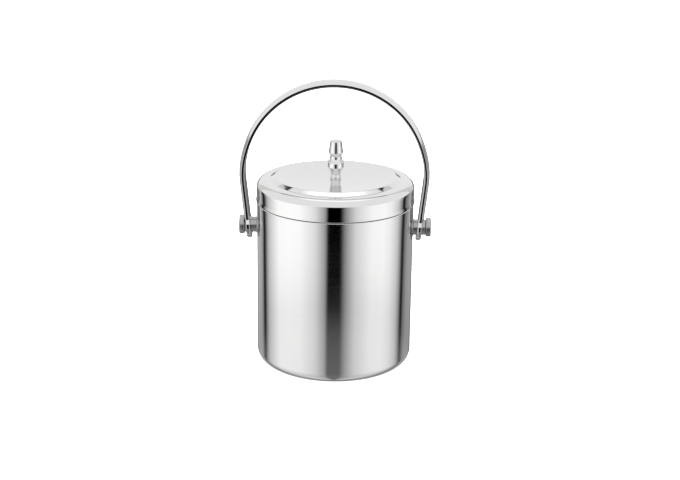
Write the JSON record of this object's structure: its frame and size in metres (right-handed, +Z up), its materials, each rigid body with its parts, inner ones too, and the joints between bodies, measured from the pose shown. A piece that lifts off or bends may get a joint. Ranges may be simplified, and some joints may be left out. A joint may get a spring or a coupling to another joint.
{
  "type": "ice bucket",
  "caption": "Double-wall steel ice bucket with a lift-off cap lid, a turned finial knob and a strap bail that swings on side pivots.",
  "frame": {"origin": "centre of the standing ring's flat underside, in the middle of the bucket", "axes": "+Z up along the bucket's axis, +X along the bail's pivots to the right-hand pivot, -Y towards the viewer"},
  "size_m": [0.1592, 0.131, 0.2385],
  "materials": {
    "satin_steel": "fine circumferential satin",
    "liner_steel": "bright drawn satin",
    "polished_steel": "mirror polish",
    "dull_steel": "plain machined",
    "silicone": "matte translucent white"
  },
  "bodies": {
    "bucket": {"outer_shell": "satin_steel", "base_disc": "satin_steel", "inner_liner": "liner_steel", "left_pivot_sleeve": "polished_steel", "left_pivot_bolt": "polished_steel", "left_pivot_nut": "dull_steel", "left_backing_plate": "dull_steel", "right_pivot_sleeve": "polished_steel", "right_pivot_bolt": "polished_steel", "right_pivot_nut": "dull_steel", "right_backing_plate": "dull_steel"},
    "lid": {"lid_cap": "polished_steel", "lid_seal": "silicone", "knob": "polished_steel", "knob_washer": "silicone", "knob_screw": "dull_steel"},
    "bail": {"bail": "polished_steel"}
  },
  "joints": [
    {"name": "lid_lift", "type": "slide", "parent": "bucket", "child": "lid", "axis": [0, 0, 1], "range_m": [0, 0.034]},
    {"name": "bail_swing", "type": "hinge", "parent": "bucket", "child": "bail", "pos_m": [0, 0, 0.1152], "axis": [1, 0, 0], "range_deg": [-141.5, 141.5]}
  ]
}
